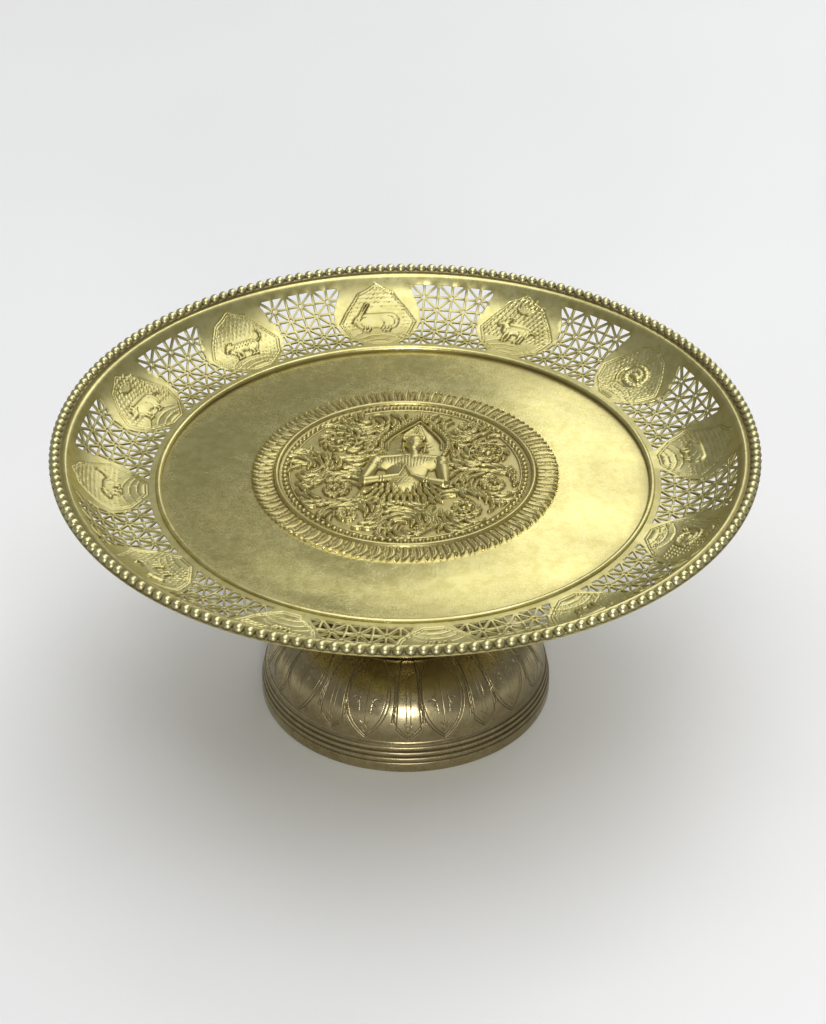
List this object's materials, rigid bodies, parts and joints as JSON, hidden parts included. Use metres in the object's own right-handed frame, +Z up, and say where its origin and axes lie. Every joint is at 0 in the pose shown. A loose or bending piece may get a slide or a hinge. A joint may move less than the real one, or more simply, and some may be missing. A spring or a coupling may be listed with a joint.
{
  "type": "footed tray",
  "caption": "Round footed brass tray with a raised medallion on its floor, a pierced flared gallery, a beaded rim, a waisted stem and a bell-shaped foot.",
  "frame": {"origin": "centre of the foot's base, on the surface the tray stands on", "axes": "+Z up the tray's axis; +Y is the rear of the tray, where the top of the medallion's picture points; +X is to the right"},
  "size_m": [0.3, 0.3, 0.1313],
  "materials": {
    "tray_brass": "satin, lightly brushed, with brown patina in the hollows",
    "gallery_brass": "satin, struck and pierced",
    "foot_brass": "polished, spun and engraved",
    "dark_brass": "unpolished, brown with age",
    "steel": "plain spring steel"
  },
  "bodies": {
    "root": {"foot_band": "foot_brass", "foot_bell": "foot_brass", "neck_collar": "foot_brass", "stem": "foot_brass", "mounting_plate": "dark_brass", "centre_stud": "dark_brass", "clamp_plate": "dark_brass", "lock_washer": "steel", "clamp_nut": "dark_brass", "tray_floor": "tray_brass", "pierced_gallery": "gallery_brass", "beaded_rim": "gallery_brass"}
  },
  "joints": []
}
